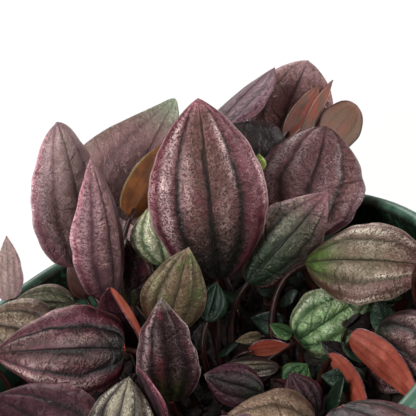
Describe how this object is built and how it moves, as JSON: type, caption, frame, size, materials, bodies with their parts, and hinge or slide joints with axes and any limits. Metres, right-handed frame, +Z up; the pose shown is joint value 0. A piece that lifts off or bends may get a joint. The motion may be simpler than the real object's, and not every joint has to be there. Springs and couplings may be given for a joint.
{
  "type": "potted peperomia",
  "caption": "Bushy potted peperomia: ribbed, pointed burgundy and mauve leaves on reddish stalks, rising from potting mix in a round green plastic nursery pot.",
  "frame": {"origin": "middle of the flat underside of the pot", "axes": "+Z up; +Y to the back, where the tallest leaves stand; +X to the right"},
  "size_m": [0.2018, 0.1927, 0.1747],
  "materials": {
    "leaf_burgundy": "satin",
    "leaf_mauve": "satin",
    "leaf_dark": "satin",
    "leaf_olive": "satin",
    "leaf_gold": "satin",
    "leaf_green": "satin",
    "leaf_brick": "satin",
    "pot_plastic": "satin",
    "potting_mix": "matte"
  },
  "bodies": {
    "root": {"pot": "pot_plastic", "potting_mix": "potting_mix", "leaf_centre_tall": "leaf_burgundy", "leaf_left_outer": "leaf_mauve", "leaf_left_inner": "leaf_mauve", "leaf_back_left_broad": "leaf_mauve", "leaf_back_left_folded": "leaf_brick", "leaf_small_silver": "leaf_green", "leaf_back_narrow": "leaf_burgundy", "leaf_back_top": "leaf_mauve", "leaf_back_pair_left": "leaf_brick", "leaf_back_pair_right": "leaf_brick", "leaf_back_round": "leaf_brick", "leaf_right_broad": "leaf_burgundy", "leaf_right_inner": "leaf_olive", "leaf_right_gold": "leaf_gold", "leaf_bright_green": "leaf_green", "leaf_green_right": "leaf_green", "leaf_olive": "leaf_olive", "leaf_front_dark": "leaf_dark", "leaf_front_narrow": "leaf_dark", "leaf_low_left_broad": "leaf_burgundy", "leaf_low_left_purple": "leaf_dark", "leaf_low_silver": "leaf_gold", "leaf_low_upright": "leaf_burgundy", "leaf_far_left": "leaf_mauve", "leaf_left_olive": "leaf_olive", "leaf_left_tan": "leaf_gold", "leaf_left_brown": "leaf_brick", "leaf_red_upper": "leaf_brick", "leaf_red_lower": "leaf_brick", "leaf_right_pink": "leaf_burgundy", "leaf_low_dark": "leaf_dark", "leaf_low_tan": "leaf_gold", "leaf_low_brown": "leaf_dark", "leaf_small_red": "leaf_brick", "leaf_small_striped": "leaf_gold", "leaf_small_folded": "leaf_brick", "leaf_small_bright": "leaf_green", "leaf_small_deep_green": "leaf_green", "leaf_front_outer_1": "leaf_burgundy", "leaf_front_outer_2": "leaf_burgundy", "leaf_front_outer_3": "leaf_burgundy", "leaf_front_outer_4": "leaf_burgundy", "leaf_front_outer_5": "leaf_burgundy", "leaf_front_outer_6": "leaf_burgundy", "leaf_front_inner_1": "leaf_burgundy", "leaf_front_inner_2": "leaf_burgundy", "leaf_front_inner_3": "leaf_burgundy", "leaf_front_inner_4": "leaf_burgundy", "leaf_right_outer_1": "leaf_mauve", "leaf_right_outer_2": "leaf_mauve", "leaf_left_outer_ring_1": "leaf_mauve", "leaf_left_outer_ring_2": "leaf_mauve", "leaf_left_outer_ring_3": "leaf_mauve", "leaf_left_inner_ring_1": "leaf_burgundy", "leaf_left_inner_ring_2": "leaf_burgundy", "leaf_left_inner_ring_3": "leaf_burgundy", "leaf_back_outer_1": "leaf_burgundy", "leaf_back_outer_2": "leaf_burgundy"}
  },
  "joints": []
}
